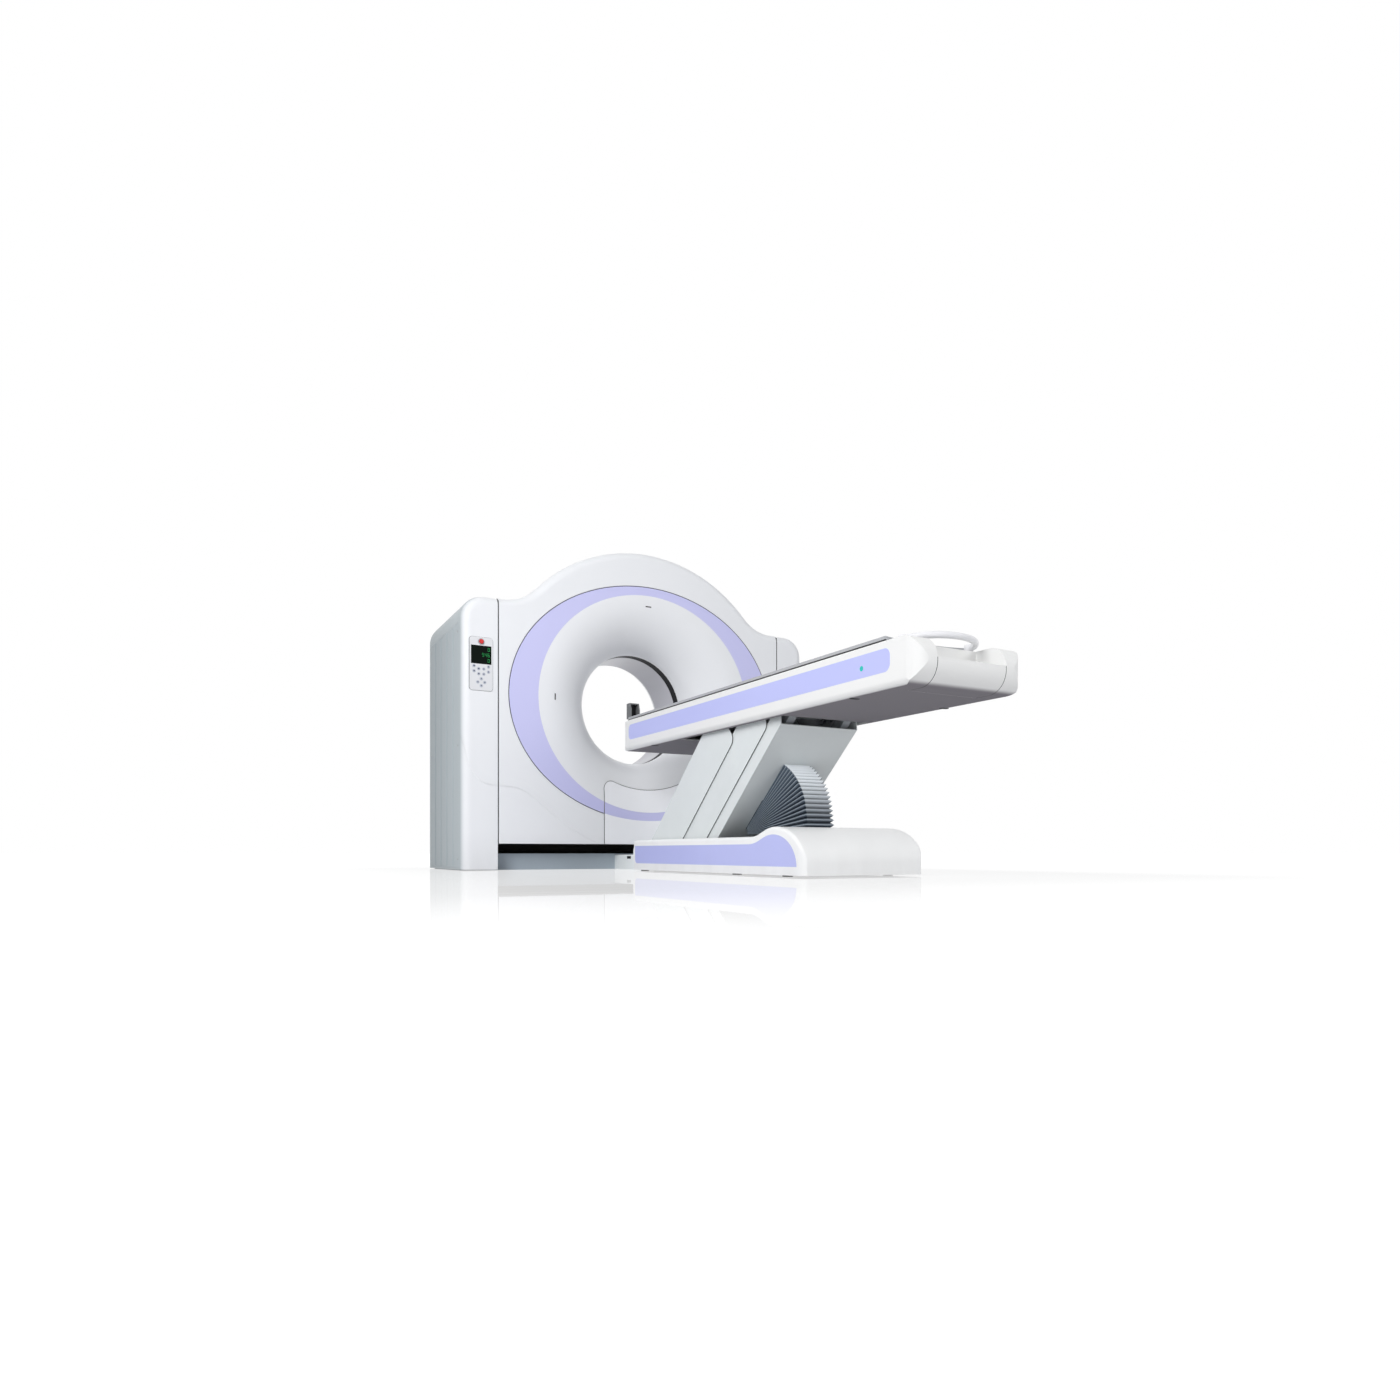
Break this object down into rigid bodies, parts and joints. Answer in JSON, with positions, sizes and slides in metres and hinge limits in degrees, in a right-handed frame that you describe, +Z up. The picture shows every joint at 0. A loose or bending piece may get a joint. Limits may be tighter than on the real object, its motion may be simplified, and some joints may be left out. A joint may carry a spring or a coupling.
{
  "type": "ct scanner",
  "caption": "Tilting ring scanner between fixed columns, with a hidden spinning ring and a patient table that rises on a leaning leg and slides its cradle through the bore.",
  "frame": {"origin": "on the floor under the crossing of the bore's axis and the tilt axis, at the plinth's underside", "axes": "+X to the right of someone facing the gantry from the table, +Y from the table's foot into the gantry, +Z up"},
  "size_m": [2.317, 3.5526, 1.9548],
  "materials": {
    "base_steel": "blue-grey powder coat",
    "bearing_steel": "ground",
    "cover_white": "satin white paint on moulded covers",
    "panel_grey": "fine textured grey paint",
    "motor_paint": "dark grey enamel",
    "pad_face": "smooth grey-white membrane",
    "display_black": "glossy black",
    "stop_red": "glossy red",
    "duct_grey": "light grey powder coat",
    "table_white": "satin warm white",
    "stripe_lilac": "satin pale blue-lilac inlay",
    "frame_steel": "grey primed steel",
    "foot_black": "matt black",
    "lilac": "satin lilac inlay",
    "liner_white": "polished",
    "window_dark": "translucent dark grey",
    "slit_dark": "dark tinted",
    "belt_black": "ribbed matt",
    "rotor_alloy": "turned",
    "tube_grey": "cream enamel",
    "collimator_brass": "machined",
    "detector_dark": "black anodised",
    "weight_iron": "rough cast",
    "slip_brass": "polished tracks",
    "leg_grey": "light grey satin paint",
    "screw_chrome": "hard chromed",
    "bellows_slate": "matt coated fabric",
    "frame_alloy": "milled",
    "handle_grey": "satin light grey",
    "cradle_cream": "satin laminate",
    "socket_grey": "fine grain",
    "key_cap": "smooth"
  },
  "bodies": {
    "stand": {"gantry_base": "base_steel", "trunnion_bearings": "bearing_steel", "left_column_cover": "cover_white", "right_column_cover": "cover_white", "side_panels": "panel_grey", "tilt_gearmotor": "motor_paint", "keypad_panel": "pad_face", "keypad_display": "display_black", "floor_duct": "duct_grey", "table_base_cover": "table_white", "base_stripes": "stripe_lilac", "table_base_frame": "frame_steel", "base_feet": "foot_black", "bellows": "bellows_slate"},
    "gantry": {"gantry_frame": "frame_steel", "front_cover": "cover_white", "ring_cover": "cover_white", "lilac_band": "lilac", "access_panel": "cover_white", "rear_cover": "cover_white", "bore_liner": "liner_white", "scan_window": "window_dark", "laser_windows": "slit_dark", "drive_motor": "motor_paint", "drive_belt": "belt_black"},
    "rotor": {"rotor_drum": "rotor_alloy", "xray_tube": "tube_grey", "collimator": "collimator_brass", "detector_array": "detector_dark", "hv_generator": "motor_paint", "counterweight": "weight_iron", "slip_ring": "slip_brass"},
    "pulley": {"motor_pulley": "rotor_alloy"},
    "rear_link": {"rear_arm": "frame_steel", "rear_leg_cover": "leg_grey"},
    "front_link": {"front_arm": "frame_steel", "front_leg_cover": "leg_grey"},
    "mid_link": {"mid_leg_cover": "leg_grey"},
    "jack": {"actuator_body": "motor_paint"},
    "jack_screw": {"actuator_rod": "screw_chrome"},
    "table": {"table_housing": "table_white", "table_stripes": "stripe_lilac", "table_frame": "frame_alloy", "foot_end_cover": "table_white", "foot_handle": "handle_grey"},
    "cradle": {"cradle_board": "cradle_cream", "head_socket": "socket_grey"},
    "stop": {"stop_button": "stop_red"},
    "body_key_01": {"key_01": "key_cap"},
    "body_key_02": {"key_02": "key_cap"},
    "body_key_03": {"key_03": "key_cap"},
    "body_key_04": {"key_04": "key_cap"},
    "body_key_05": {"key_05": "key_cap"},
    "body_key_06": {"key_06": "key_cap"},
    "body_key_07": {"key_07": "key_cap"},
    "body_key_08": {"key_08": "key_cap"},
    "body_key_09": {"key_09": "key_cap"},
    "body_key_10": {"key_10": "key_cap"},
    "body_key_11": {"key_11": "key_cap"},
    "body_key_12": {"key_12": "key_cap"}
  },
  "joints": [
    {"name": "gantry_tilt", "type": "hinge", "parent": "stand", "child": "gantry", "pos_m": [0, 0, 1.018], "axis": [-1, 0, 0], "range_deg": [-30, 28]},
    {"name": "rotor_spin", "type": "hinge", "parent": "gantry", "child": "rotor", "pos_m": [0, 0, 1.018], "axis": [0, 1, 0], "continuous": true},
    {"name": "pulley_spin", "type": "hinge", "parent": "gantry", "child": "pulley", "pos_m": [0.60953, 0, 0.40847], "axis": [0, 1, 0], "continuous": true},
    {"name": "table_lift", "type": "hinge", "parent": "stand", "child": "rear_link", "pos_m": [0, -1.379, 0.11], "axis": [-1, 0, 0], "range_deg": [-22, 4], "deforming": ["bellows"]},
    {"name": "front_link_swing", "type": "hinge", "parent": "stand", "child": "front_link", "pos_m": [0, -0.8256, 0.11], "axis": [-1, 0, 0], "range_deg": [-22, 4]},
    {"name": "mid_link_swing", "type": "hinge", "parent": "stand", "child": "mid_link", "pos_m": [0, -1.228, 0.11], "axis": [-1, 0, 0], "range_deg": [-22, 4]},
    {"name": "table_level", "type": "hinge", "parent": "rear_link", "child": "table", "pos_m": [0, -2.08002, 0.73021], "axis": [-1, 0, 0], "range_deg": [-4, 22]},
    {"name": "jack_swing", "type": "hinge", "parent": "stand", "child": "jack", "pos_m": [0, -1.72, 0.06], "axis": [-1, 0, 0], "range_deg": [-5, 1.5]},
    {"name": "jack_extend", "type": "slide", "parent": "jack", "child": "jack_screw", "axis": [0, 0.5055, 0.8628], "range_m": [-0.107, 0.02]},
    {"name": "cradle_slide", "type": "slide", "parent": "table", "child": "cradle", "axis": [0, 1, 0], "range_m": [0, 1.6]},
    {"name": "key_01_press", "type": "slide", "parent": "stand", "child": "body_key_01", "axis": [0, 1, 0], "range_m": [0, 0.0012], "stiffness_N_per_m": 400},
    {"name": "key_02_press", "type": "slide", "parent": "stand", "child": "body_key_02", "axis": [0, 1, 0], "range_m": [0, 0.0012], "stiffness_N_per_m": 400},
    {"name": "key_03_press", "type": "slide", "parent": "stand", "child": "body_key_03", "axis": [0, 1, 0], "range_m": [0, 0.0012], "stiffness_N_per_m": 400},
    {"name": "key_04_press", "type": "slide", "parent": "stand", "child": "body_key_04", "axis": [0, 1, 0], "range_m": [0, 0.0012], "stiffness_N_per_m": 400},
    {"name": "key_05_press", "type": "slide", "parent": "stand", "child": "body_key_05", "axis": [0, 1, 0], "range_m": [0, 0.0012], "stiffness_N_per_m": 400},
    {"name": "key_06_press", "type": "slide", "parent": "stand", "child": "body_key_06", "axis": [0, 1, 0], "range_m": [0, 0.0012], "stiffness_N_per_m": 400},
    {"name": "key_07_press", "type": "slide", "parent": "stand", "child": "body_key_07", "axis": [0, 1, 0], "range_m": [0, 0.0012], "stiffness_N_per_m": 400},
    {"name": "key_08_press", "type": "slide", "parent": "stand", "child": "body_key_08", "axis": [0, 1, 0], "range_m": [0, 0.0012], "stiffness_N_per_m": 400},
    {"name": "key_09_press", "type": "slide", "parent": "stand", "child": "body_key_09", "axis": [0, 1, 0], "range_m": [0, 0.0012], "stiffness_N_per_m": 400},
    {"name": "key_10_press", "type": "slide", "parent": "stand", "child": "body_key_10", "axis": [0, 1, 0], "range_m": [0, 0.0012], "stiffness_N_per_m": 400},
    {"name": "key_11_press", "type": "slide", "parent": "stand", "child": "body_key_11", "axis": [0, 1, 0], "range_m": [0, 0.0012], "stiffness_N_per_m": 400},
    {"name": "key_12_press", "type": "slide", "parent": "stand", "child": "body_key_12", "axis": [0, 1, 0], "range_m": [0, 0.0012], "stiffness_N_per_m": 400},
    {"name": "stop_press", "type": "slide", "parent": "stand", "child": "stop", "axis": [0, 1, 0], "range_m": [0, 0.004], "stiffness_N_per_m": 600}
  ],
  "couplings": [
    {"joint": "pulley_spin", "follows": "rotor_spin", "ratio": 12},
    {"joint": "front_link_swing", "follows": "table_lift", "ratio": 1},
    {"joint": "mid_link_swing", "follows": "table_lift", "ratio": 1},
    {"joint": "table_level", "follows": "table_lift", "ratio": -1},
    {"joint": "jack_swing", "follows": "table_lift", "ratio": 0.18},
    {"joint": "jack_extend", "follows": "table_lift", "m_per_rad": 0.276}
  ]
}
